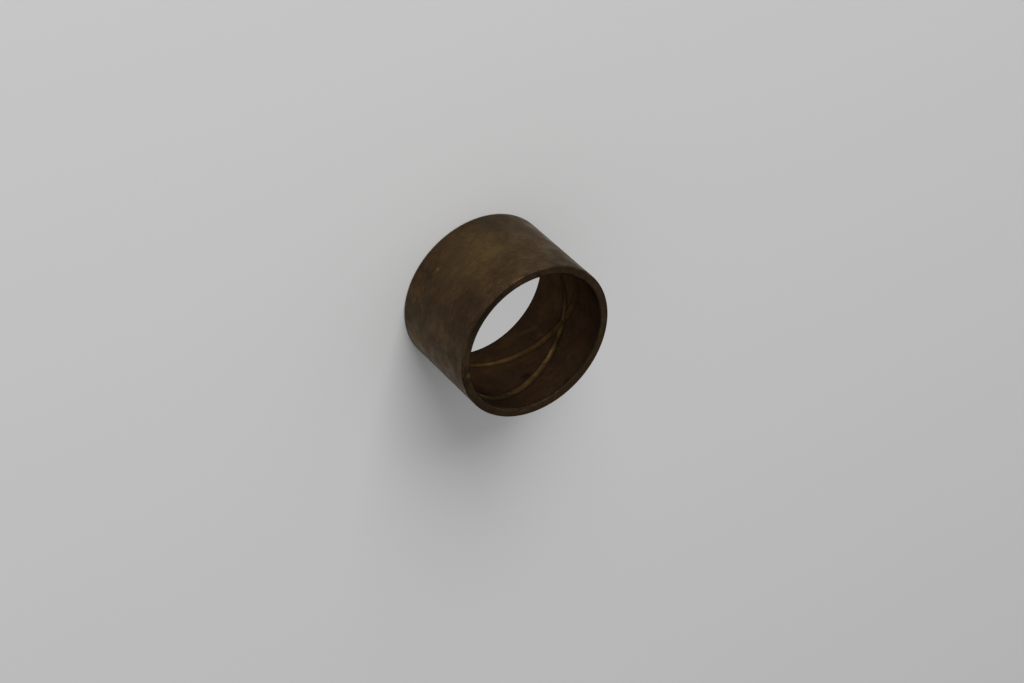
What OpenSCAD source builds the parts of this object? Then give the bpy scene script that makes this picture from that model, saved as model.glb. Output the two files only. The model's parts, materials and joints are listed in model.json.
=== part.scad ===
// Plain bronze bushing with a figure-eight oil groove cut in its bore.
// The bushing stands on one end face: the origin is the centre of that face,
// +Z runs along the bore, and the groove crosses itself on the +Y side.

/* [Sleeve] */
// Bore diameter, running on a shaft
bore_d = 55; // [20:0.5:150]
// Wall thickness, which sets the outside diameter that a housing takes
wall = 3.5; // [2:0.1:12]
// Length from end face to end face
length = 40; // [20:1:120]
// Lead-in chamfer on both outside edges, at 45 degrees
outside_chamfer = 0.4; // [0.2:0.1:1.5]
// Chamfer on both bore edges, at 45 degrees
bore_chamfer = 0.5; // [0.2:0.1:1.2]

/* [Oil groove] */
// Width of the groove at the bore wall
groove_w = 2.2; // [1.8:0.1:4]
// Depth of the groove's round bottom below the bore wall
groove_depth = 0.8; // [0.3:0.1:1.1]
// Bore wall left between the groove's turn and the bore chamfer
groove_land = 1; // [0.5:0.1:8]
// Direction of the groove's crossing, around the bore from +X
crossing_angle = 90; // [0:15:345]

/* [Hidden] */
$fn = 180;

bore_r = bore_d / 2;
outside_r = bore_r + wall;
mid_z = length / 2;

// The groove's centreline swings this far to each side of mid-length.
groove_reach = mid_z - bore_chamfer - groove_land - groove_w / 2;
// The round-nosed tool that leaves a groove of that width and depth.
tool_r = (pow(groove_w / 2, 2) + pow(groove_depth, 2)) / (2 * groove_depth);
tool_centre_r = bore_r + groove_depth - tool_r;
// Half the arc of the tool, taken a few degrees past the bore wall so that the cut breaks through cleanly.
arc_past_wall = 15;
tool_arc = asin(groove_w / 2 / tool_r) + arc_past_wall;
// The tool's shank ends this far inside the bore wall, clear of the chords between sections.
shank_in = 2 * groove_depth;
// Facets across the groove, and sections along each of its two strands.
groove_facets = 8;
strand_sections = 72;

// Section of the tool: pairs of [distance from the bush's axis, distance along the strand's binormal].
tool_section = [
    for (i = [0 : groove_facets])
        let (a = tool_arc * (2 * i / groove_facets - 1))
        [tool_centre_r + tool_r * cos(a), tool_r * sin(a)],
    [bore_r - shank_in, tool_r * sin(tool_arc)],
    [bore_r - shank_in, -tool_r * sin(tool_arc)]
];

// Height of a strand at an angle from the crossing; turn is 1 where it rises and -1 where it falls.
function strand_z(angle, turn) = mid_z + turn * groove_reach * sin(angle / 2);

// Slope of a strand on the bore wall: its rise over the distance run around the wall.
function strand_slope(angle, turn) = turn * groove_reach / 2 * cos(angle / 2) / bore_r;

// One tool section, square to the strand at that angle from the crossing.
function strand_section(angle, turn) =
    let (
        around = crossing_angle + angle,
        outward = [cos(around), sin(around), 0],
        forward = [-sin(around), cos(around), strand_slope(angle, turn)],
        across = cross(outward, forward / norm(forward))
    )
    [for (p = tool_section) outward * p[0] + across * p[1] + [0, 0, strand_z(angle, turn)]];

// Sleeve with chamfered edges, turned about the bore axis.
module sleeve() {
    rotate_extrude()
        polygon([
            [bore_r + bore_chamfer, 0],
            [outside_r - outside_chamfer, 0],
            [outside_r, outside_chamfer],
            [outside_r, length - outside_chamfer],
            [outside_r - outside_chamfer, length],
            [bore_r + bore_chamfer, length],
            [bore_r, length - bore_chamfer],
            [bore_r, bore_chamfer]
        ]);
}

// The cut left by the tool along one strand, a full turn from one end of the bore to the other.
module groove_strand(turn) {
    sides = len(tool_section);
    sections = [
        for (i = [0 : strand_sections])
            strand_section(360 * (i / strand_sections - 1 / 2), turn)
    ];
    last = strand_sections * sides;
    polyhedron(
        points = [for (section = sections) each section],
        faces = concat(
            [[for (j = [sides - 1 : -1 : 0]) j]],
            [
                for (i = [0 : strand_sections - 1], j = [0 : sides - 1])
                    let (
                        a = i * sides + j,
                        b = i * sides + (j + 1) % sides
                    )
                    each [[a, b + sides, a + sides], [a, b, b + sides]]
            ],
            [[for (j = [0 : sides - 1]) last + j]]
        )
    );
}

// Two strands cross on one side of the bore and run into each other on the opposite side,
// so that together they are one endless figure-eight groove.
module bushing() {
    color("#5a4429")
        difference() {
            sleeve();
            groove_strand(1);
            groove_strand(-1);
        }
}

bushing();
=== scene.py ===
"""Looks of a worn plain bronze bushing with a figure-eight oil groove in its bore."""

import json
import math

import bpy
from mathutils import Euler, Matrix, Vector


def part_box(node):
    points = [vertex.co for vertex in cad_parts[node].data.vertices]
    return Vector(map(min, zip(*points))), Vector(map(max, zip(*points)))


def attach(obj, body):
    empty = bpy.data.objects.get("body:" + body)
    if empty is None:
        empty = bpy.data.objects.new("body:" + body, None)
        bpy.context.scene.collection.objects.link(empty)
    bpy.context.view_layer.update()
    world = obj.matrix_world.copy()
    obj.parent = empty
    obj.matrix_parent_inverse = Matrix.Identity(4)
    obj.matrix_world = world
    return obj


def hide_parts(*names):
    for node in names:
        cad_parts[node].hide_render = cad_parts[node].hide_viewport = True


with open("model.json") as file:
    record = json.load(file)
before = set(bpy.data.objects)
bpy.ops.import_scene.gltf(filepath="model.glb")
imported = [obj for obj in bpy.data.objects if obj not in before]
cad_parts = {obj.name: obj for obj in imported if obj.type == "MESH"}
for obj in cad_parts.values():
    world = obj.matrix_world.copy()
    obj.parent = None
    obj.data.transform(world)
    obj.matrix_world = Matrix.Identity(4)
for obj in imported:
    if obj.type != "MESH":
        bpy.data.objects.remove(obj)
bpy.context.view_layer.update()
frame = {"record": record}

# Sizes of the bushing, in metres
MOUNTS = {mount["name"]: mount for mount in frame["record"]["mounts"]}
OUTSIDE_R = MOUNTS["outside"]["dims"]["r_mm"] / 1000
BORE_R = MOUNTS["bore"]["dims"]["r_mm"] / 1000
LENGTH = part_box("bushing")[1].z
WALL = OUTSIDE_R - BORE_R
OUTSIDE_CHAMFER = 0.0004
BORE_CHAMFER = 0.0005
EDGE_ROUND = 0.0001
GROOVE_W = 0.0022
GROOVE_DEPTH = 0.0008
GROOVE_LAND = 0.001
GROOVE_LIP = 0.00018
GROOVE_REACH = LENGTH / 2 - BORE_CHAMFER - GROOVE_LAND - GROOVE_W / 2
CROSSING_ANGLE = math.radians(90)
STEPS_AROUND = 360
CHAMFER_STEPS = 1
ROUND_STEPS = 3
NOSE_STEPS = 12

# The slope of the groove's lip: its depth and inset at the foot, and its rise over the wall at the top
LIP_FOOT_DEPTH = 0.63 * GROOVE_LIP
LIP_FOOT_INSET = 0.6 * GROOVE_LIP
LIP_TOP_RISE = 0.18 * GROOVE_LIP

# Edge rings near both ends, which keep the shading of the long walls even
WALL_RINGS = (0.0013, 0.0026, LENGTH - 0.0026, LENGTH - 0.0013)

# Tolerances of the mesh
NEAR_ENOUGH = 0.00002
CUTTER_MERGE_GAP = 0.000001
MERGE_GAP = 0.000002
SMOOTH_ANGLE = math.radians(18)


# Modelling helpers

def deselect_all():
    bpy.ops.object.select_all(action="DESELECT")


def make_active(piece):
    deselect_all()
    piece.select_set(True)
    bpy.context.view_layer.objects.active = piece


def apply_modifier(piece, name):
    make_active(piece)
    bpy.ops.object.modifier_apply(modifier=name)


def edit_level_edges(piece, wanted):
    """Opens the piece in edit mode with its level edges selected whose ends both pass the test."""
    make_active(piece)
    bpy.ops.object.mode_set(mode="EDIT")
    bpy.ops.mesh.select_mode(type="EDGE")
    bpy.ops.mesh.select_all(action="DESELECT")
    bpy.ops.object.mode_set(mode="OBJECT")
    vertices = piece.data.vertices
    for edge in piece.data.edges:
        start, end = (vertices[index].co for index in edge.vertices)
        edge.select = near(start.z, end.z) and wanted(start) and wanted(end)
    bpy.ops.object.mode_set(mode="EDIT")


def leave_edit_mode():
    bpy.ops.object.mode_set(mode="OBJECT")


def axis_distance(place):
    return math.hypot(place.x, place.y)


def near(value, target):
    return abs(value - target) < NEAR_ENOUGH


def at_an_end(place, inset=0.0):
    return near(place.z, inset) or near(place.z, LENGTH - inset)


# Sleeve

def bevel_rim(piece, wanted, width, segments):
    """Bevels the level edges whose ends both pass the test."""
    edit_level_edges(piece, wanted)
    bpy.ops.mesh.bevel(offset=width, offset_type="OFFSET", segments=segments, profile=0.5)
    leave_edit_mode()


def cut_ring(piece, height):
    """Adds an edge ring right round the sleeve at that height."""
    make_active(piece)
    bpy.ops.object.mode_set(mode="EDIT")
    bpy.ops.mesh.select_all(action="SELECT")
    bpy.ops.mesh.bisect(plane_co=(0, 0, height), plane_no=(0, 0, 1))
    leave_edit_mode()


def turn_sleeve(outside_finish, bore_finish, end_finish):
    """A tube with its wall grown inwards, four rims chamfered and the chamfers' edges eased."""
    deselect_all()
    bpy.ops.mesh.primitive_cylinder_add(
        vertices=STEPS_AROUND,
        radius=OUTSIDE_R,
        depth=LENGTH,
        end_fill_type="NOTHING",
        location=(0, 0, LENGTH / 2),
    )
    bpy.ops.object.transform_apply(location=True, rotation=False, scale=False)
    sleeve = bpy.context.object
    sleeve.name = "bronze_bushing"
    for finish in (outside_finish, bore_finish, end_finish):
        sleeve.data.materials.append(finish)
    wall = sleeve.modifiers.new("wall", "SOLIDIFY")
    wall.thickness = WALL
    wall.offset = -1
    wall.material_offset = 1
    wall.material_offset_rim = 2
    apply_modifier(sleeve, "wall")
    bevel_rim(
        sleeve,
        lambda place: at_an_end(place) and near(axis_distance(place), OUTSIDE_R),
        OUTSIDE_CHAMFER,
        CHAMFER_STEPS,
    )
    bevel_rim(
        sleeve,
        lambda place: at_an_end(place) and near(axis_distance(place), BORE_R),
        BORE_CHAMFER,
        CHAMFER_STEPS,
    )
    chamfer_edges = (
        (OUTSIDE_R, OUTSIDE_CHAMFER),
        (OUTSIDE_R - OUTSIDE_CHAMFER, 0),
        (BORE_R, BORE_CHAMFER),
        (BORE_R + BORE_CHAMFER, 0),
    )
    for radius, inset in chamfer_edges:
        bevel_rim(
            sleeve,
            lambda place: at_an_end(place, inset) and near(axis_distance(place), radius),
            EDGE_ROUND,
            ROUND_STEPS,
        )
    for height in WALL_RINGS:
        cut_ring(sleeve, height)
    return sleeve


# Oil groove

def flat_curve(name, places):
    """A closed curve of straight steps through the places given."""
    curve = bpy.data.curves.new(name, "CURVE")
    curve.dimensions = "3D"
    spline = curve.splines.new("POLY")
    spline.points.add(len(places) - 1)
    for point, place in zip(spline.points, places):
        point.co = (*place, 1)
    spline.use_cyclic_u = True
    item = bpy.data.objects.new(name, curve)
    bpy.context.scene.collection.objects.link(item)
    return item


def groove_tool_profile():
    """Round nose, eased lips and a shank: x is depth into the wall and y is across the groove."""
    half = GROOVE_W / 2
    nose_r = (half ** 2 + GROOVE_DEPTH ** 2) / (2 * GROOVE_DEPTH)
    nose_arc = math.asin(half / nose_r)
    nose = []
    for step in range(NOSE_STEPS + 1):
        angle = nose_arc * (2 * step / NOSE_STEPS - 1)
        nose.append((GROOVE_DEPTH - nose_r + nose_r * math.cos(angle), nose_r * math.sin(angle), 0))
    nose[0] = (LIP_FOOT_DEPTH, -half + LIP_FOOT_INSET, 0)
    nose[-1] = (LIP_FOOT_DEPTH, half - LIP_FOOT_INSET, 0)
    lip = half + GROOVE_LIP
    shank = [
        (-LIP_TOP_RISE, lip, 0),
        (-GROOVE_DEPTH, lip, 0),
        (-GROOVE_DEPTH, -lip, 0),
        (-LIP_TOP_RISE, -lip, 0),
    ]
    return flat_curve("groove_tool", nose + shank)


def groove_path():
    """Once along the figure eight: two turns of the bore, from end to end and back."""
    places = []
    for step in range(2 * STEPS_AROUND):
        swing = 2 * math.pi * (step + 0.5) / STEPS_AROUND
        around = CROSSING_ANGLE + swing
        height = LENGTH / 2 + GROOVE_REACH * math.sin(swing / 2)
        places.append((BORE_R * math.cos(around), BORE_R * math.sin(around), height))
    return flat_curve("groove_path", places)


def cut_oil_groove(sleeve, groove_finish):
    """Sweeps the tool's profile along the path and cuts the sweep out of the sleeve."""
    tool = groove_tool_profile()
    cutter = groove_path()
    cutter.data.twist_mode = "Z_UP"
    cutter.data.bevel_mode = "OBJECT"
    cutter.data.bevel_object = tool
    make_active(cutter)
    bpy.ops.object.convert(target="MESH")
    cutter.data.materials.clear()
    cutter.data.materials.append(groove_finish)
    bpy.ops.object.mode_set(mode="EDIT")
    bpy.ops.mesh.select_all(action="SELECT")
    bpy.ops.mesh.remove_doubles(threshold=CUTTER_MERGE_GAP)
    bpy.ops.mesh.normals_make_consistent(inside=False)
    leave_edit_mode()
    cut = sleeve.modifiers.new("groove", "BOOLEAN")
    cut.operation = "DIFFERENCE"
    cut.object = cutter
    cut.solver = "EXACT"
    cut.use_self = True
    cut.material_mode = "TRANSFER"
    apply_modifier(sleeve, "groove")
    bpy.data.objects.remove(cutter)
    bpy.data.objects.remove(tool)


def finish_mesh(piece):
    """Merges what the cut left doubled, and shades the round surfaces smooth."""
    make_active(piece)
    bpy.ops.object.mode_set(mode="EDIT")
    bpy.ops.mesh.select_all(action="SELECT")
    bpy.ops.mesh.remove_doubles(threshold=MERGE_GAP)
    bpy.ops.mesh.dissolve_degenerate(threshold=MERGE_GAP)
    bpy.ops.mesh.normals_make_consistent(inside=False)
    leave_edit_mode()
    bpy.ops.object.shade_smooth_by_angle(angle=SMOOTH_ANGLE)


# Node helpers

def add_node(tree, kind, **settings):
    node = tree.nodes.new(kind)
    for name, value in settings.items():
        setattr(node, name, value)
    return node


def feed(tree, socket, value):
    """Links an output to the socket, or sets the socket to a plain value."""
    if isinstance(value, bpy.types.NodeSocket):
        tree.links.new(value, socket)
    else:
        socket.default_value = value


def math_node(tree, operation, first, second=0.0, clamp=False):
    node = add_node(tree, "ShaderNodeMath", operation=operation, use_clamp=clamp)
    feed(tree, node.inputs[0], first)
    feed(tree, node.inputs[1], second)
    return node.outputs[0]


def remap(tree, value, low, high, to_low=0.0, to_high=1.0):
    """A smooth step of the value from one range to another."""
    node = add_node(tree, "ShaderNodeMapRange", interpolation_type="SMOOTHSTEP")
    feed(tree, node.inputs["Value"], value)
    feed(tree, node.inputs["From Min"], low)
    feed(tree, node.inputs["From Max"], high)
    feed(tree, node.inputs["To Min"], to_low)
    feed(tree, node.inputs["To Max"], to_high)
    return node.outputs["Result"]


def noise(tree, vector, scale, detail=4.0, roughness=0.55, distortion=0.0):
    node = add_node(tree, "ShaderNodeTexNoise")
    feed(tree, node.inputs["Vector"], vector)
    feed(tree, node.inputs["Scale"], scale)
    feed(tree, node.inputs["Detail"], detail)
    feed(tree, node.inputs["Roughness"], roughness)
    feed(tree, node.inputs["Distortion"], distortion)
    return node.outputs["Fac"]


def stretched(tree, vector, scale, turn=(0, 0, 0), shift=(0, 0, 0)):
    node = add_node(tree, "ShaderNodeMapping")
    feed(tree, node.inputs["Vector"], vector)
    node.inputs["Location"].default_value = shift
    node.inputs["Rotation"].default_value = turn
    node.inputs["Scale"].default_value = scale
    return node.outputs["Vector"]


def mix_colour(tree, amount, first, second):
    node = add_node(tree, "ShaderNodeMix", data_type="RGBA", blend_type="MIX")
    feed(tree, node.inputs["Factor"], amount)
    feed(tree, node.inputs["A"], first)
    feed(tree, node.inputs["B"], second)
    return node.outputs["Result"]


def new_group(name, inputs, outputs):
    """A node group with its sockets: the tree, the values given to it and what it puts out."""
    group = bpy.data.node_groups.new(name, "ShaderNodeTree")
    for socket_name, kind, value in inputs:
        socket = group.interface.new_socket(socket_name, in_out="INPUT", socket_type=kind)
        socket.default_value = value
    for socket_name, kind in outputs:
        group.interface.new_socket(socket_name, in_out="OUTPUT", socket_type=kind)
    start = group.nodes.new("NodeGroupInput")
    end = group.nodes.new("NodeGroupOutput")
    return group, start.outputs, end.inputs


def place_group(tree, group, **values):
    """Puts a group into a tree, feeds its sockets by name and returns its outputs."""
    node = add_node(tree, "ShaderNodeGroup", node_tree=group)
    for name, value in values.items():
        feed(tree, node.inputs[name], value)
    return node.outputs


def object_place(tree):
    return add_node(tree, "ShaderNodeTexCoord").outputs["Object"]


def hypotenuse(tree, first, second):
    """The long side over two short ones."""
    squares = [math_node(tree, "MULTIPLY", side, side) for side in (first, second)]
    return math_node(tree, "SQRT", math_node(tree, "ADD", *squares))


def bush_place(tree):
    """Radius from the bore axis and height above the lower end, from Object coordinates."""
    place = add_node(tree, "ShaderNodeSeparateXYZ")
    feed(tree, place.inputs[0], object_place(tree))
    return hypotenuse(tree, place.outputs["X"], place.outputs["Y"]), place.outputs["Z"]


def angle_around(tree):
    """Angle around the bore axis from +X, and height above the lower end."""
    place = add_node(tree, "ShaderNodeSeparateXYZ")
    feed(tree, place.inputs[0], object_place(tree))
    return math_node(tree, "ARCTAN2", place.outputs["Y"], place.outputs["X"]), place.outputs["Z"]


def cell_chance(tree, cells):
    """A chance from 0 to 1 for each cell of a Voronoi scatter."""
    node = add_node(tree, "ShaderNodeSeparateColor")
    feed(tree, node.inputs[0], cells.outputs["Color"])
    return node.outputs[0]


def unrolled_place(tree):
    """Distance round the sleeve and distance along its section, so that walls and ends unroll flat."""
    angle = angle_around(tree)[0]
    radius, height = bush_place(tree)
    flat = add_node(tree, "ShaderNodeCombineXYZ")
    feed(tree, flat.inputs["X"], math_node(tree, "MULTIPLY", angle, (OUTSIDE_R + BORE_R) / 2))
    feed(tree, flat.inputs["Y"], math_node(tree, "ADD", radius, height))
    return flat.outputs[0]


NUMBER = "NodeSocketFloat"
COLOUR = "NodeSocketColor"
VECTOR = "NodeSocketVector"

# A noise swings about this value
NOISE_MIDDLE = 0.5

# Patina: features to the metre in each layer, by axis in the finer two, and each layer's share
BROAD_CLOUDS = 62.0
PATCHES = (195, 195, 340)
SPECKS = (700, 700, 2600)
BROAD_SHARE = 0.34
PATCH_SHARE = 0.42
SPECK_SHARE = 0.24
MOTTLE_SPAN = 0.16

# Stains: features to the metre, a shift that parts them from the mottle, and the level of their tide line
STAINS = 105.0
STAIN_SHIFT = (0.31, 0.17, 0.23)
STAIN_SHORE = 0.535

# Pits: the widest one as a share of its cell, and the flat floor as a share of its radius
WIDEST_PIT = 0.3
PIT_FLOOR = 0.5

# Marks: streaks to the metre in their ragged edges, how far these move, and the share that is a full core
RAGGED_STREAKS = (420, 420, 1300)
RAGGED_SWING = 1.8
MARK_CORE = 0.1

# Oil groove's lips: reach of the darkening beside them, how far its edge wanders, and the worn line's
# core and edge
LIP_DARKENING_REACH = 0.0011
LIP_DARKENING_WANDER = 0.0005
LIP_LINE_CORE = 0.00008
LIP_LINE_EDGE = 0.0002

# Rims: features to the metre in ragged edges and in broken lines, and the share of a line that is full
RIM_RAGGED = 900.0
RIM_PATCHES = 150.0
RIM_LINE_CORE = 0.35

# Rims: how far the edge of the dirt and painted shade wanders, and where it is full and where it ends
RIM_GRIME_AND_SHADE_WANDER = 0.0006
RIM_GRIME_AND_SHADE_FULL = 0.0006
RIM_GRIME_AND_SHADE_END = 0.0014

# Lathe lines: broad ones to each fine one, their height, patches to the metre, and what is kept between
BROAD_LINES = 0.17
BROAD_LINE_HEIGHT = 0.8
LINE_PATCHES = 170.0
LINE_LEAST = 0.35

# Scratches: shares of their width and half length that are full, and how rare they are
SCRATCH_CORE = 0.3
SCRATCH_FULL = 0.4
SCRATCH_RARITY = 0.6

# What each effect does to the bronze
SCRATCH_WEAR = 0.3
PIT_SOIL = 0.65
BARE_METAL = 0.2
SOIL_ROUGHNESS = 0.12
LINE_ROUGHNESS = 0.07
FINE_GRAIN = 2600.0
SCRATCH_DEPTH = 0.5
PIT_DEPTH = 0.7
RELIEF_HEIGHT = 0.00006

# Sets of scratches: angle from the axis, spacing, length and width
SCRATCH_SETS = (
    (3, 0.0021, 0.031, 0.00007),
    (-9, 0.0037, 0.022, 0.00009),
    (-47, 0.0053, 0.017, 0.00007),
    (66, 0.0061, 0.026, 0.00009),
    (86, 0.0019, 0.043, 0.00006),
)

# Dirt and painted shade reach this much further from the bore chamfers than from the outside ones, which
# paints a dark line of shade along the bore's rims
BORE_GRIME_AND_SHADE_SPREAD = 0.0004


# Finishes shared by the surfaces

def make_patina_clouds():
    """Mottled oxide in three tones under a fourth, a stain, from a thumb's width down to specks."""
    tree, given, out = new_group(
        "patina_clouds",
        [
            ("Pale", COLOUR, (0.3, 0.2, 0.1, 1)),
            ("Middle", COLOUR, (0.2, 0.12, 0.06, 1)),
            ("Dark", COLOUR, (0.1, 0.06, 0.03, 1)),
            ("Stain", COLOUR, (0.1, 0.08, 0.05, 1)),
            ("Contrast", NUMBER, 1.0),
        ],
        [("Color", COLOUR), ("Mottle", NUMBER)],
    )
    place = object_place(tree)
    broad = noise(tree, place, BROAD_CLOUDS, detail=5.0, roughness=0.58, distortion=0.7)
    patch_place = stretched(tree, place, PATCHES)
    patches = noise(tree, patch_place, 1.0, detail=8.0, roughness=0.68, distortion=0.8)
    specks = noise(tree, stretched(tree, place, SPECKS), 1.0, detail=6.0, roughness=0.72)
    blend = 0.0
    for layer, share in ((broad, BROAD_SHARE), (patches, PATCH_SHARE), (specks, SPECK_SHARE)):
        blend = math_node(tree, "ADD", math_node(tree, "MULTIPLY", layer, share), blend)
    centred = math_node(tree, "SUBTRACT", blend, NOISE_MIDDLE)
    spread = math_node(tree, "MULTIPLY", centred, given["Contrast"])
    mottle = remap(tree, spread, -MOTTLE_SPAN, MOTTLE_SPAN)
    tone = mix_colour(tree, remap(tree, mottle, 0.0, 0.5), given["Dark"], given["Middle"])
    tone = mix_colour(tree, remap(tree, mottle, 0.5, 1.0), tone, given["Pale"])
    stain_place = stretched(tree, place, (1, 1, 1), shift=STAIN_SHIFT)
    stain_field = noise(tree, stain_place, STAINS, detail=6.0, roughness=0.62, distortion=1.1)
    stained = remap(tree, stain_field, 0.52, 0.62, to_low=0.0, to_high=0.75)
    tone = mix_colour(tree, stained, tone, given["Stain"])
    shore = math_node(tree, "ABSOLUTE", math_node(tree, "SUBTRACT", stain_field, STAIN_SHORE))
    tide_line = remap(tree, shore, 0.0, 0.012, to_low=0.5, to_high=0.0)
    tone = mix_colour(tree, tide_line, tone, given["Dark"])
    feed(tree, out["Color"], tone)
    feed(tree, out["Mottle"], mottle)
    return tree


def make_pits():
    """Small dark pits, in some cells of a fine scatter."""
    tree, given, out = new_group(
        "pits",
        [("Cells", NUMBER, 800.0), ("Rarity", NUMBER, 0.7)],
        [("Pit", NUMBER)],
    )
    cells = add_node(tree, "ShaderNodeTexVoronoi", feature="F1")
    feed(tree, cells.inputs["Vector"], object_place(tree))
    feed(tree, cells.inputs["Scale"], given["Cells"])
    size = remap(tree, cell_chance(tree, cells), given["Rarity"], 1.0, to_low=0.0, to_high=WIDEST_PIT)
    floor_size = math_node(tree, "MULTIPLY", size, PIT_FLOOR)
    pit = remap(tree, cells.outputs["Distance"], floor_size, size, to_low=1.0, to_high=0.0)
    feed(tree, out["Pit"], pit)
    return tree


def make_ragged_edges():
    """A streaky field about zero that breaks up the edges of marks, drawn out around the axis."""
    tree, _, out = new_group("ragged_edges", [], [("Ragged", NUMBER)])
    place = stretched(tree, object_place(tree), RAGGED_STREAKS)
    streaked = noise(tree, place, 1.0, detail=6.0, roughness=0.7)
    centred = math_node(tree, "SUBTRACT", streaked, NOISE_MIDDLE)
    feed(tree, out["Ragged"], math_node(tree, "MULTIPLY", centred, RAGGED_SWING))
    return tree


def make_spot():
    """A round mark about one point of the surface, with its edge moved in and out by a ragged field."""
    tree, given, out = new_group(
        "spot",
        [
            ("Centre", VECTOR, (0, 0, 0)),
            ("Reach", VECTOR, (0.001, 0.001, 0.001)),
            ("Ragged", NUMBER, 0.0),
        ],
        [("Mask", NUMBER)],
    )
    away = add_node(tree, "ShaderNodeVectorMath", operation="SUBTRACT")
    feed(tree, away.inputs[0], object_place(tree))
    feed(tree, away.inputs[1], given["Centre"])
    share = add_node(tree, "ShaderNodeVectorMath", operation="DIVIDE")
    feed(tree, share.inputs[0], away.outputs[0])
    feed(tree, share.inputs[1], given["Reach"])
    gap = add_node(tree, "ShaderNodeVectorMath", operation="LENGTH")
    feed(tree, gap.inputs[0], share.outputs[0])
    edge = math_node(tree, "ADD", gap.outputs["Value"], given["Ragged"])
    feed(tree, out["Mask"], remap(tree, edge, MARK_CORE, 1.0, to_low=1.0, to_high=0.0))
    return tree


def make_groove_lips():
    """The bore wall along the oil groove: darker beside it, and broken worn lines on its lips."""
    tree, given, out = new_group(
        "groove_lips",
        [("Spread", NUMBER, 0.001), ("Ragged", NUMBER, 0.0)],
        [("Wear", NUMBER), ("Darkening", NUMBER)],
    )
    angle, height = angle_around(tree)
    swing = math_node(tree, "WRAP", math_node(tree, "SUBTRACT", angle, CROSSING_ANGLE), math.pi)
    swing.node.inputs[2].default_value = -math.pi
    rise = math_node(tree, "SINE", math_node(tree, "MULTIPLY", swing, 0.5))
    rise = math_node(tree, "MULTIPLY", rise, GROOVE_REACH)
    level = math_node(tree, "SUBTRACT", height, LENGTH / 2)
    to_rising = math_node(tree, "ABSOLUTE", math_node(tree, "SUBTRACT", level, rise))
    to_falling = math_node(tree, "ABSOLUTE", math_node(tree, "ADD", level, rise))
    middle_gap = math_node(tree, "MINIMUM", to_rising, to_falling)
    gap = math_node(tree, "SUBTRACT", middle_gap, GROOVE_W / 2 + GROOVE_LIP / 2)
    wander = math_node(tree, "MULTIPLY", given["Ragged"], LIP_DARKENING_WANDER)
    shifted = math_node(tree, "ADD", gap, wander)
    feed(tree, out["Darkening"], remap(tree, shifted, 0.0, given["Spread"], to_low=1.0, to_high=0.0))
    line_gap = math_node(tree, "ABSOLUTE", gap)
    line = remap(tree, line_gap, LIP_LINE_CORE, LIP_LINE_EDGE, to_low=1.0, to_high=0.0)
    kept = remap(tree, given["Ragged"], -0.05, 0.25)
    feed(tree, out["Wear"], math_node(tree, "MULTIPLY", line, kept))
    return tree


def line_noise(tree, place, scale, detail):
    """Uneven lines across one direction."""
    node = add_node(tree, "ShaderNodeTexNoise", noise_dimensions="1D")
    feed(tree, node.inputs["W"], place)
    feed(tree, node.inputs["Scale"], scale)
    feed(tree, node.inputs["Detail"], detail)
    return node.outputs["Fac"]


def make_turning_marks():
    """Fine uneven lathe lines: round the walls, and in circles on the end faces."""
    tree, given, out = new_group(
        "turning_marks",
        [("Lines", NUMBER, 2500.0)],
        [("Height", NUMBER), ("Streak", NUMBER)],
    )
    radius, height = bush_place(tree)
    section_place = math_node(tree, "ADD", radius, height)
    along = math_node(tree, "MULTIPLY", section_place, given["Lines"])
    fine = line_noise(tree, along, 1.0, detail=3.0)
    broad = line_noise(tree, along, BROAD_LINES, detail=2.0)
    kept = remap(tree, noise(tree, object_place(tree), LINE_PATCHES, detail=3.0), 0.38, 0.62)
    ridges = math_node(tree, "ADD", fine, math_node(tree, "MULTIPLY", broad, BROAD_LINE_HEIGHT))
    share = math_node(tree, "ADD", kept, LINE_LEAST)
    feed(tree, out["Height"], math_node(tree, "MULTIPLY", ridges, share))
    feed(tree, out["Streak"], broad)
    return tree


def make_scratches():
    """Straight hairline scratches in several directions over the unrolled surface."""
    tree, given, out = new_group(
        "scratches",
        [("Amount", NUMBER, 0.5), ("Rarity", NUMBER, 0.5)],
        [("Scratch", NUMBER)],
    )
    surface = unrolled_place(tree)
    total = 0.0
    for turn, spacing, length, width in SCRATCH_SETS:
        turned = stretched(tree, surface, (1, 1, 1), turn=(0, 0, math.radians(turn)))
        place = stretched(tree, turned, (1 / spacing, 1 / length, 1))
        cells = add_node(tree, "ShaderNodeTexVoronoi", voronoi_dimensions="2D", feature="F1")
        feed(tree, cells.inputs["Vector"], place)
        cells.inputs["Scale"].default_value = 1.0
        offset = add_node(tree, "ShaderNodeVectorMath", operation="SUBTRACT")
        feed(tree, offset.inputs[0], place)
        feed(tree, offset.inputs[1], cells.outputs["Position"])
        sides = add_node(tree, "ShaderNodeSeparateXYZ")
        feed(tree, sides.inputs[0], offset.outputs[0])
        aside = math_node(tree, "ABSOLUTE", sides.outputs["X"])
        across = math_node(tree, "MULTIPLY", aside, spacing / width)
        along = math_node(tree, "ABSOLUTE", sides.outputs["Y"])
        line = remap(tree, across, SCRATCH_CORE, 1.0, to_low=1.0, to_high=0.0)
        half = remap(tree, cell_chance(tree, cells), given["Rarity"], 1.0, to_low=0.0, to_high=0.5)
        full = math_node(tree, "MULTIPLY", half, SCRATCH_FULL)
        tapered = remap(tree, along, full, half, to_low=1.0, to_high=0.0)
        total = math_node(tree, "MAXIMUM", math_node(tree, "MULTIPLY", line, tapered), total)
    feed(tree, out["Scratch"], math_node(tree, "MULTIPLY", total, given["Amount"]))
    return tree


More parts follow.
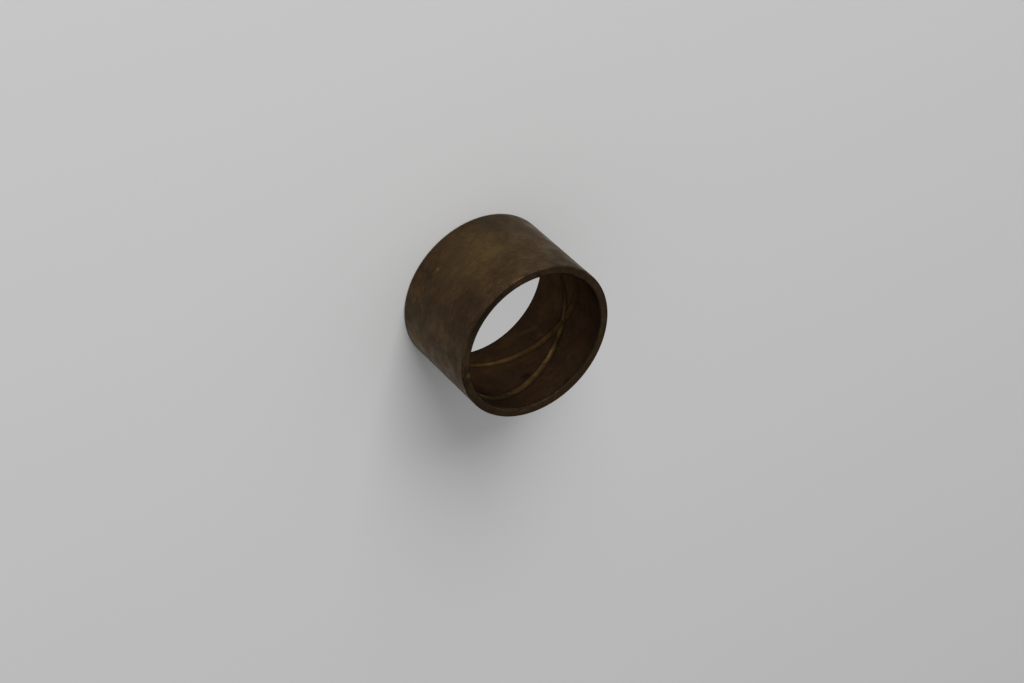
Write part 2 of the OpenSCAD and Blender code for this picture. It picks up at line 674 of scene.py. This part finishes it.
def make_rim_wear_and_shade():
    """The four rims: dirt and painted shade over each chamfer, darkening chamfers that would catch the
    light, and broken lines of worn-through metal along its two edges.
    """
    tree, given, out = new_group(
        "rim_wear_and_shade",
        [("Reach", NUMBER, 0.0002), ("Cover", NUMBER, 0.5)],
        [("Wear", NUMBER), ("Darkening", NUMBER)],
    )
    radius, height = bush_place(tree)
    top_gap = math_node(tree, "SUBTRACT", LENGTH, height)
    end_gap = math_node(tree, "ABSOLUTE", math_node(tree, "MINIMUM", height, top_gap))

    def gap_to(rim_radius, inset):
        aside = math_node(tree, "SUBTRACT", radius, rim_radius)
        along = math_node(tree, "SUBTRACT", end_gap, inset)
        return hypotenuse(tree, aside, along)

    outside_edges = (gap_to(OUTSIDE_R, OUTSIDE_CHAMFER), gap_to(OUTSIDE_R - OUTSIDE_CHAMFER, 0))
    bore_edges = (gap_to(BORE_R, BORE_CHAMFER), gap_to(BORE_R + BORE_CHAMFER, 0))
    nearest = [math_node(tree, "MINIMUM", *edges) for edges in (outside_edges, bore_edges)]
    edge_gap = math_node(tree, "MINIMUM", *nearest)
    edge_noise = noise(tree, object_place(tree), RIM_RAGGED, detail=6.0, roughness=0.7)
    ragged = math_node(tree, "SUBTRACT", edge_noise, NOISE_MIDDLE)
    shifted = math_node(tree, "ADD", edge_gap, math_node(tree, "MULTIPLY", ragged, given["Reach"]))
    reached = math_node(tree, "DIVIDE", shifted, given["Reach"])
    line = remap(tree, reached, RIM_LINE_CORE, 1.0, to_low=1.0, to_high=0.0)
    patches = noise(tree, object_place(tree), RIM_PATCHES, detail=6.0, roughness=0.65)
    cut = math_node(tree, "SUBTRACT", 1.0, given["Cover"])
    kept = remap(tree, math_node(tree, "SUBTRACT", patches, cut), -0.06, 0.08)
    feed(tree, out["Wear"], math_node(tree, "MULTIPLY", line, kept, clamp=True))
    # Dirt and painted shade over the chamfers, which darkens chamfers that would catch the light
    outside_gap = math_node(tree, "ADD", *outside_edges)
    bore_gap = math_node(tree, "SUBTRACT", math_node(tree, "ADD", *bore_edges), BORE_GRIME_AND_SHADE_SPREAD)
    chamfer_gap = math_node(tree, "MINIMUM", outside_gap, bore_gap)
    wander = math_node(tree, "MULTIPLY", ragged, RIM_GRIME_AND_SHADE_WANDER)
    ragged_gap = math_node(tree, "ADD", chamfer_gap, wander)
    grime_and_shade = remap(tree, ragged_gap, RIM_GRIME_AND_SHADE_FULL, RIM_GRIME_AND_SHADE_END, to_low=1.0, to_high=0.0)
    feed(tree, out["Darkening"], grime_and_shade)
    return tree


# Surfaces of the bushing

def streak(start, end, radius, count, reach, strength):
    """A row of small marks from one angle and height to another."""
    marks = []
    for step in range(count):
        share = step / (count - 1)
        around = start[0] + (end[0] - start[0]) * share
        height = start[1] + (end[1] - start[1]) * share
        marks.append((around, radius, height, reach, reach, strength))
    return tuple(marks)


def mark_mask(tree, marks, ragged, groups):
    """The strongest of some marks, each given by its place, its two reaches and its strength."""
    total = 0.0
    for around, radius, height, reach_around, reach_along, strength in marks:
        turn = math.radians(around)
        spot = place_group(
            tree,
            groups["spot"],
            Centre=(radius * math.cos(turn), radius * math.sin(turn), height),
            Reach=(reach_around, reach_around, reach_along),
            Ragged=ragged,
        )
        total = math_node(tree, "MAXIMUM", math_node(tree, "MULTIPLY", spot["Mask"], strength), total)
    return total


def scaled_colour(tree, colour, factor):
    node = add_node(tree, "ShaderNodeVectorMath", operation="SCALE")
    feed(tree, node.inputs[0], colour)
    feed(tree, node.inputs["Scale"], factor)
    return node.outputs[0]


def bronze_finish(name, tones, values, worn_and_lit_marks, dark_marks, groups):
    """A bronze surface: patina, lathe lines, scratches, pits, worn rims and marks over one shader; the
    light marks are partly painted light, and the dark marks and rim dirt are partly painted shade.
    """
    finish = bpy.data.materials.new(name)
    finish.use_nodes = True
    tree = finish.node_tree
    shader = tree.nodes["Principled BSDF"]

    def times(value, factor):
        return math_node(tree, "MULTIPLY", value, factor)

    def most(first, second):
        return math_node(tree, "MAXIMUM", first, second)

    clouds = place_group(
        tree,
        groups["clouds"],
        Pale=tones["pale"],
        Middle=tones["middle"],
        Dark=tones["dark"],
        Stain=tones["stain"],
        Contrast=values["contrast"],
    )
    lines = place_group(tree, groups["lines"], Lines=values["lines"])
    scratches = place_group(tree, groups["scratches"], Amount=values["scratches"], Rarity=SCRATCH_RARITY)
    rims = place_group(tree, groups["rims"], Reach=values["wear_reach"], Cover=values["wear_cover"])
    pits = place_group(tree, groups["pits"], Cells=values["pit_cells"], Rarity=values["pit_rarity"])
    ragged = place_group(tree, groups["ragged"])["Ragged"]

    # Light mask: scratches, worn rim lines, and light marks that are partly painted light and painted
    # highlights
    bared_and_lit = most(times(scratches["Scratch"], SCRATCH_WEAR), times(rims["Wear"], values["wear_strength"]))
    bared_and_lit = most(bared_and_lit, mark_mask(tree, worn_and_lit_marks, ragged, groups))
    # Dark mask: pits, and dark marks and rim dirt that are partly painted shade
    soiled_and_shaded = most(times(pits["Pit"], PIT_SOIL), mark_mask(tree, dark_marks, ragged, groups))
    soiled_and_shaded = most(soiled_and_shaded, times(rims["Darkening"], values["rim_grime_and_shade"]))
    if values["lip_darkening"]:
        lips = place_group(tree, groups["lips"], Spread=LIP_DARKENING_REACH, Ragged=ragged)
        soiled_and_shaded = most(soiled_and_shaded, times(lips["Darkening"], values["lip_darkening"]))
        bared_and_lit = most(bared_and_lit, times(lips["Wear"], values["lip_wear"]))

    banding = remap(tree, lines["Streak"], 0.3, 0.7, 1.0 - values["streak"], 1.0 + values["streak"])
    colour = scaled_colour(tree, clouds["Color"], banding)
    # The dark tone paints dirt and painted shade, and the light tone paints worn-through metal and
    # painted light, over the patina
    colour = mix_colour(tree, soiled_and_shaded, colour, tones["grime_and_shade"])
    colour = mix_colour(tree, bared_and_lit, colour, tones["bare_and_lit"])
    feed(tree, shader.inputs["Base Color"], colour)

    rough = remap(tree, clouds["Mottle"], 0.0, 1.0, values["rough_dark"], values["rough_pale"])
    rough = math_node(tree, "SUBTRACT", rough, times(bared_and_lit, values["polish"]))
    rough = math_node(tree, "ADD", rough, times(soiled_and_shaded, SOIL_ROUGHNESS))
    brushed = remap(tree, lines["Height"], 0.2, 0.9, -LINE_ROUGHNESS, LINE_ROUGHNESS)
    feed(tree, shader.inputs["Roughness"], math_node(tree, "ADD", rough, brushed))

    metal = math_node(tree, "ADD", values["metal"], times(bared_and_lit, BARE_METAL), clamp=True)
    feed(tree, shader.inputs["Metallic"], metal)
    shader.inputs["Anisotropic"].default_value = values["turned"]
    shader.inputs["Specular IOR Level"].default_value = values["specular"]
    shader.inputs["Specular Tint"].default_value = tones["edge"]

    grain = noise(tree, object_place(tree), FINE_GRAIN, detail=4.0, roughness=0.6)
    relief = times(lines["Height"], values["line_depth"])
    relief = math_node(tree, "ADD", relief, times(grain, values["grain"]))
    relief = math_node(tree, "SUBTRACT", relief, times(scratches["Scratch"], SCRATCH_DEPTH))
    relief = math_node(tree, "SUBTRACT", relief, times(pits["Pit"], PIT_DEPTH))
    bump = add_node(tree, "ShaderNodeBump")
    bump.inputs["Strength"].default_value = values["bump"]
    bump.inputs["Distance"].default_value = RELIEF_HEIGHT
    feed(tree, bump.inputs["Height"], relief)
    feed(tree, shader.inputs["Normal"], bump.outputs["Normal"])
    return finish


GROUPS = {
    "clouds": make_patina_clouds(),
    "lines": make_turning_marks(),
    "scratches": make_scratches(),
    "rims": make_rim_wear_and_shade(),
    "pits": make_pits(),
    "ragged": make_ragged_edges(),
    "spot": make_spot(),
    "lips": make_groove_lips(),
}

# Single marks: degrees around from +X, metres of radius, height, reach around and reach along, strength
# Light marks on the outside: rubbed and worn bronze, and painted light: a broad lit patch at 230 degrees,
# a painted highlight on the upper rim at 221 degrees, a painted sheen low on the wall at 311 degrees, and
# the rub at 219 degrees is partly a painted highlight
OUTSIDE_WORN_AND_LIT = (
    (219, OUTSIDE_R, 0.0208, 0.009, 0.005, 0.65),
    (234, OUTSIDE_R, 0.0195, 0.008, 0.0042, 0.24),
    (252, OUTSIDE_R, 0.021, 0.006, 0.0032, 0.14),
    (221, OUTSIDE_R, LENGTH - 0.0006, 0.0042, 0.0013, 0.32),
    (251, OUTSIDE_R, 0.0093, 0.0011, 0.0011, 1.0),
    (212, OUTSIDE_R, 0.0003, 0.016, 0.0007, 0.4),
    (242, OUTSIDE_R, 0.0003, 0.013, 0.0007, 0.4),
    (230, OUTSIDE_R, 0.015, 0.024, 0.02, 0.24),
    (311, OUTSIDE_R, 0.006, 0.011, 0.015, 0.3),
)
# Dark marks on the outside: partly dirt, partly painted shade that darkens the wall where the light
# should fall less and dims its sheen below the upper rim at 184 degrees
OUTSIDE_DARK = (
    (262, OUTSIDE_R, 0.027, 0.016, 0.013, 0.3),
    (278, OUTSIDE_R, 0.0147, 0.008, 0.005, 0.35),
    (243, OUTSIDE_R, 0.0115, 0.005, 0.004, 0.25),
    (205, OUTSIDE_R, 0.009, 0.006, 0.004, 0.25),
    (248, OUTSIDE_R, 0.0352, 0.009, 0.006, 0.3),
    (184, OUTSIDE_R, 0.036, 0.012, 0.008, 0.5),
    (184, OUTSIDE_R, 0.006, 0.012, 0.009, 0.28),
    (276, OUTSIDE_R, 0.031, 0.013, 0.015, 0.3),
)
# Light marks in the bore: partly wear, partly painted light, with a painted highlight near the upper rim
# at 35 degrees
BORE_WORN_AND_LIT = (
    (62, BORE_R, LENGTH - 0.004, 0.016, 0.006, 0.12),
    (88, BORE_R, 0.009, 0.009, 0.007, 0.14),
    (37, BORE_R, 0.013, 0.014, 0.01, 0.15),
    (131, BORE_R, 0.034, 0.011, 0.011, 0.13),
    (35, BORE_R, 0.0368, 0.011, 0.004, 0.14),
    (303, BORE_R, LENGTH - 0.0003, 0.0018, 0.0006, 0.6),
    (50, BORE_R, 0.0045, 0.008, 0.006, 0.2),
    *streak((50, 0.0028), (72, 0.0098), BORE_R, 14, 0.0016, 0.24),
)
# Dark marks in the bore: partly dirt, partly painted shade, the broad one at 347 degrees darkening a side
# the light should reach less
BORE_DARK = (
    (38, BORE_R, 0.0245, 0.0034, 0.0022, 0.7),
    (57, BORE_R, LENGTH - 0.0012, 0.0024, 0.0018, 0.7),
    (347, BORE_R, 0.032, 0.013, 0.011, 0.9),
    (60, BORE_R, 0.028, 0.005, 0.003, 0.3),
)
# Dark marks in the groove: painted shade that dims its lit strip, mostly along one strand
GROOVE_DARK = (
    (2, BORE_R, 0.0325, 0.012, 0.005, 0.85),
    (13, BORE_R, 0.0308, 0.009, 0.006, 0.75),
    (41, BORE_R, 0.0273, 0.0034, 0.004, 0.55),
    (75, BORE_R, 0.0223, 0.005, 0.003, 0.7),
    (53, BORE_R, 0.0256, 0.006, 0.003, 0.38),
    (30, BORE_R, 0.0287, 0.009, 0.004, 0.3),
    (20, BORE_R, 0.01, 0.003, 0.003, 0.4),
)
# Light marks in the groove: painted light near the crossing at 90 degrees, and wear
GROOVE_WORN_AND_LIT = (
    (36, BORE_R, 0.012, 0.005, 0.003, 0.3),
    (97, BORE_R, 0.0203, 0.006, 0.005, 0.4),
    (81, BORE_R, 0.0186, 0.003, 0.0016, 0.25),
    (115, BORE_R, 0.02, 0.008, 0.008, 0.3),
)
# Light marks on the end face: partly wear, partly painted highlights along its rims where they would face
# the light
END_WORN_AND_LIT = (
    (221, OUTSIDE_R - 0.0012, LENGTH, 0.0042, 0.004, 0.28),
    (15, BORE_R + 0.0006, LENGTH, 0.0026, 0.004, 0.3),
    (288, BORE_R + 0.0015, LENGTH, 0.006, 0.004, 0.18),
    (358, OUTSIDE_R - 0.0006, LENGTH, 0.008, 0.004, 0.15),
    (303, BORE_R + 0.0003, LENGTH, 0.0018, 0.004, 0.5),
    (42, BORE_R + 0.0018, LENGTH, 0.016, 0.004, 0.14),
    (92, BORE_R + 0.0018, LENGTH, 0.02, 0.004, 0.12),
)
# Dark marks on the end face: painted shade that darkens the ring, and a painted shadow of a small nick at
# 205 degrees
END_DARK = (
    (205, BORE_R + 0.0008, LENGTH, 0.0016, 0.004, 0.8),
    (330, BORE_R + 0.0018, LENGTH, 0.008, 0.004, 0.3),
    (249, BORE_R + 0.0012, LENGTH, 0.015, 0.004, 0.6),
    (308, BORE_R + 0.0018, LENGTH, 0.012, 0.004, 0.6),
    (346, BORE_R + 0.0018, LENGTH, 0.012, 0.004, 0.45),
)

# Tones are linear colours; wear_reach is in metres, and lines and pit_cells are counted to the metre
outside_finish = bronze_finish(
    "outside_patina",
    {
        "pale": (0.088, 0.0538, 0.0225, 1),
        "middle": (0.0558, 0.031, 0.0146, 1),
        "dark": (0.031, 0.0195, 0.0105, 1),
        "stain": (0.038, 0.027, 0.0155, 1),
        "bare_and_lit": (0.15, 0.096, 0.036, 1),
        "grime_and_shade": (0.018, 0.012, 0.0075, 1),
        "edge": (0.86, 0.8, 0.7, 1),
    },
    {
        "contrast": 1.05,
        "lines": 2600.0,
        "scratches": 0.8,
        "wear_reach": 0.00017,
        "wear_cover": 0.47,
        "wear_strength": 0.5,
        "rim_grime_and_shade": 0.6,
        "lip_darkening": 0.0,
        "pit_cells": 850.0,
        "pit_rarity": 0.8,
        "streak": 0.03,
        "rough_dark": 0.46,
        "rough_pale": 0.33,
        "polish": 0.1,
        "metal": 0.75,
        "turned": 0.6,
        "specular": 0.17,
        "line_depth": 1.0,
        "grain": 0.5,
        "bump": 0.7,
    },
    OUTSIDE_WORN_AND_LIT,
    OUTSIDE_DARK,
    GROUPS,
)
# The bore's tones are darker than the outside's: partly oil stain, partly painted shade for the light
# that reaches into the standing bore
bore_finish = bronze_finish(
    "bore_patina",
    {
        "pale": (0.0585, 0.0302, 0.0152, 1),
        "middle": (0.0385, 0.0206, 0.0112, 1),
        "dark": (0.0222, 0.0138, 0.0086, 1),
        "stain": (0.0245, 0.0168, 0.0102, 1),
        "bare_and_lit": (0.13, 0.072, 0.025, 1),
        "grime_and_shade": (0.007, 0.0055, 0.004, 1),
        "edge": (0.55, 0.47, 0.38, 1),
    },
    {
        "contrast": 0.7,
        "lines": 3400.0,
        "scratches": 0.6,
        "wear_reach": 0.00017,
        "wear_cover": 0.45,
        "wear_strength": 0.4,
        "rim_grime_and_shade": 0.8,
        "lip_darkening": 0.7,
        "lip_wear": 0.45,
        "pit_cells": 620.0,
        "pit_rarity": 0.82,
        "streak": 0.05,
        "rough_dark": 0.48,
        "rough_pale": 0.38,
        "polish": 0.1,
        "metal": 0.8,
        "turned": 0.5,
        "specular": 0.1,
        "line_depth": 1.0,
        "grain": 0.3,
        "bump": 0.6,
    },
    BORE_WORN_AND_LIT,
    BORE_DARK,
    GROUPS,
)
# The end face's tones are darker than the outside's, partly as painted shade on a face turned up to the
# light
end_finish = bronze_finish(
    "end_bronze",
    {
        "pale": (0.058, 0.0355, 0.0165, 1),
        "middle": (0.0375, 0.0225, 0.0115, 1),
        "dark": (0.023, 0.0148, 0.0086, 1),
        "stain": (0.026, 0.018, 0.0112, 1),
        "bare_and_lit": (0.13, 0.08, 0.03, 1),
        "grime_and_shade": (0.009, 0.0066, 0.005, 1),
        "edge": (0.75, 0.66, 0.55, 1),
    },
    {
        "contrast": 0.9,
        "lines": 3000.0,
        "scratches": 0.8,
        "wear_reach": 0.00017,
        "wear_cover": 0.47,
        "wear_strength": 0.5,
        "rim_grime_and_shade": 0.6,
        "lip_darkening": 0.0,
        "pit_cells": 800.0,
        "pit_rarity": 0.75,
        "streak": 0.1,
        "rough_dark": 0.55,
        "rough_pale": 0.45,
        "polish": 0.08,
        "metal": 0.75,
        "turned": 0.6,
        "specular": 0.16,
        "line_depth": 1.2,
        "grain": 0.4,
        "bump": 0.7,
    },
    END_WORN_AND_LIT,
    END_DARK,
    GROUPS,
)
# The groove's tones are lighter than the bore's: partly brighter machined metal, partly painted light
# across its whole width
groove_finish = bronze_finish(
    "groove_bronze",
    {
        "pale": (0.098, 0.056, 0.02, 1),
        "middle": (0.06, 0.034, 0.0125, 1),
        "dark": (0.032, 0.0182, 0.0078, 1),
        "stain": (0.034, 0.0205, 0.0095, 1),
        "bare_and_lit": (0.13, 0.075, 0.026, 1),
        "grime_and_shade": (0.009, 0.0062, 0.004, 1),
        "edge": (0.5, 0.35, 0.22, 1),
    },
    {
        "contrast": 0.75,
        "lines": 1800.0,
        "scratches": 0.2,
        "wear_reach": 0.00017,
        "wear_cover": 0.4,
        "wear_strength": 0.3,
        "rim_grime_and_shade": 0.5,
        "lip_darkening": 0.0,
        "pit_cells": 1100.0,
        "pit_rarity": 0.75,
        "streak": 0.05,
        "rough_dark": 0.66,
        "rough_pale": 0.58,
        "polish": 0.05,
        "metal": 0.5,
        "turned": 0.0,
        "specular": 0.08,
        "line_depth": 0.3,
        "grain": 0.6,
        "bump": 0.5,
    },
    GROOVE_WORN_AND_LIT,
    GROOVE_DARK,
    GROUPS,
)

bushing = turn_sleeve(outside_finish, bore_finish, end_finish)
cut_oil_groove(bushing, groove_finish)
finish_mesh(bushing)
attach(bushing, "root")
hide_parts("bushing")


# Floor, light and camera

# Floor: the tone it is seen with, the tone of its paper, and its side in metres
FLOOR_TONE = 0.485
FLOOR_PAPER = 0.52
FLOOR_SIDE = 6.0

# Share of plain tone in the floor inside the bore and around it, and the radii between which it changes;
# inside the bore it is painted light that hides the shade the standing sleeve casts on the floor
BORE_PAINTED_LIGHT = 0.88
FLOOR_GLOW = 0.08
PAINTED_LIGHT_FULL_R = BORE_R * 1.02
PAINTED_LIGHT_END_R = BORE_R * 1.1

# Light: degrees around from +X and up, metres and watts
LIGHT_SIDE = 208
LIGHT_UP = 30
LIGHT_DISTANCE = 2.4
LIGHT_SIZE = 1.5
LIGHT_POWER = 66.0

# Room: degrees up to its bright side, and its brightness away from the light and towards it
ROOM_UP = 20
ROOM_DIM = 0.2
ROOM_BRIGHT = 0.66

# Camera: millimetres of lens and sensor, degrees turned, and its place before the heading is turned
LENS = 97.97
SENSOR_WIDTH = 36.0
CAMERA_HEADING = math.radians(-27.5)
CAMERA_TILT = math.radians(46.96)
CAMERA_ROLL = math.radians(132.72)
CAMERA_PLACE = Vector((0.00554, -0.73, 0.7127))
NEAREST_SEEN = 0.05
FARTHEST_SEEN = 20.0


def make_floor():
    """A pale floor that stays pale to the eye and in reflections, and keeps part of the shadow; inside
    the bore's circle it glows as painted light that hides most of the shade there.
    """
    finish = bpy.data.materials.new("floor_paper")
    finish.use_nodes = True
    tree = finish.node_tree
    tree.nodes.remove(tree.nodes["Principled BSDF"])
    paper = add_node(tree, "ShaderNodeBsdfDiffuse")
    paper.inputs["Color"].default_value = (FLOOR_PAPER, FLOOR_PAPER, FLOOR_PAPER, 1)
    glow = add_node(tree, "ShaderNodeEmission")
    glow.inputs["Color"].default_value = (FLOOR_TONE, FLOOR_TONE, FLOOR_TONE, 1)
    rays = add_node(tree, "ShaderNodeLightPath")
    seen = math_node(tree, "MAXIMUM", rays.outputs["Is Camera Ray"], rays.outputs["Is Glossy Ray"])
    seen = math_node(tree, "MAXIMUM", seen, rays.outputs["Is Transmission Ray"])
    radius = bush_place(tree)[0]
    # Inside the bore's circle the floor glows as painted light, hiding the sleeve's shade on it
    share = remap(tree, radius, PAINTED_LIGHT_FULL_R, PAINTED_LIGHT_END_R, BORE_PAINTED_LIGHT, FLOOR_GLOW)
    blend = add_node(tree, "ShaderNodeMixShader")
    feed(tree, blend.inputs[0], math_node(tree, "MULTIPLY", seen, share))
    feed(tree, blend.inputs[1], paper.outputs[0])
    feed(tree, blend.inputs[2], glow.outputs[0])
    feed(tree, tree.nodes["Material Output"].inputs["Surface"], blend.outputs[0])
    deselect_all()
    bpy.ops.mesh.primitive_plane_add(size=FLOOR_SIDE, location=(0, 0, 0))
    floor = bpy.context.object
    floor.name = "floor"
    floor.data.materials.append(finish)


def make_world():
    """A soft room, brighter on the side of the key light."""
    world = bpy.data.worlds.new("soft_room")
    world.use_nodes = True
    tree = world.node_tree
    sky = tree.nodes["Background"]
    sky.inputs["Color"].default_value = (1, 1, 1, 1)
    facing = add_node(tree, "ShaderNodeVectorMath", operation="DOT_PRODUCT")
    feed(tree, facing.inputs[0], add_node(tree, "ShaderNodeTexCoord").outputs["Generated"])
    feed(tree, facing.inputs[1], direction(LIGHT_SIDE, ROOM_UP))
    brightness = remap(tree, facing.outputs["Value"], -1.0, 1.0, ROOM_DIM, ROOM_BRIGHT)
    feed(tree, sky.inputs["Strength"], brightness)
    bpy.context.scene.world = world


def direction(around, up):
    """A unit vector at an angle around from +X and an angle up, in degrees."""
    turn = math.radians(around)
    lift = math.radians(up)
    return Vector((math.cos(turn) * math.cos(lift), math.sin(turn) * math.cos(lift), math.sin(lift)))


def add_softbox(name, around, up, distance, size, power):
    """A soft light aimed at the bushing's middle; around is measured from +X."""
    lamp = bpy.data.lights.new(name, "AREA")
    lamp.size = size
    lamp.energy = power
    item = bpy.data.objects.new(name, lamp)
    bpy.context.scene.collection.objects.link(item)
    away = direction(around, up)
    item.location = Vector((0, 0, LENGTH / 2)) + away * distance
    item.rotation_euler = away.to_track_quat("Z", "Y").to_euler()


def make_camera():
    """Looks down into the bore from 43 degrees up, rolled so that the bore slopes to the lower right."""
    lens = bpy.data.cameras.new("camera")
    lens.sensor_width = SENSOR_WIDTH
    lens.lens = LENS
    lens.clip_start = NEAREST_SEEN
    lens.clip_end = FARTHEST_SEEN
    item = bpy.data.objects.new("camera", lens)
    bpy.context.scene.collection.objects.link(item)
    heading = Euler((0, 0, CAMERA_HEADING)).to_matrix()
    tilt = Euler((CAMERA_TILT, 0, 0)).to_matrix()
    roll = Euler((0, 0, CAMERA_ROLL)).to_matrix()
    item.location = heading @ CAMERA_PLACE
    item.rotation_euler = (heading @ tilt @ roll).to_euler()
    bpy.context.scene.camera = item


make_floor()
make_world()
add_softbox("key_light", LIGHT_SIDE, LIGHT_UP, LIGHT_DISTANCE, LIGHT_SIZE, LIGHT_POWER)
make_camera()
bpy.context.scene.view_settings.view_transform = "Standard"
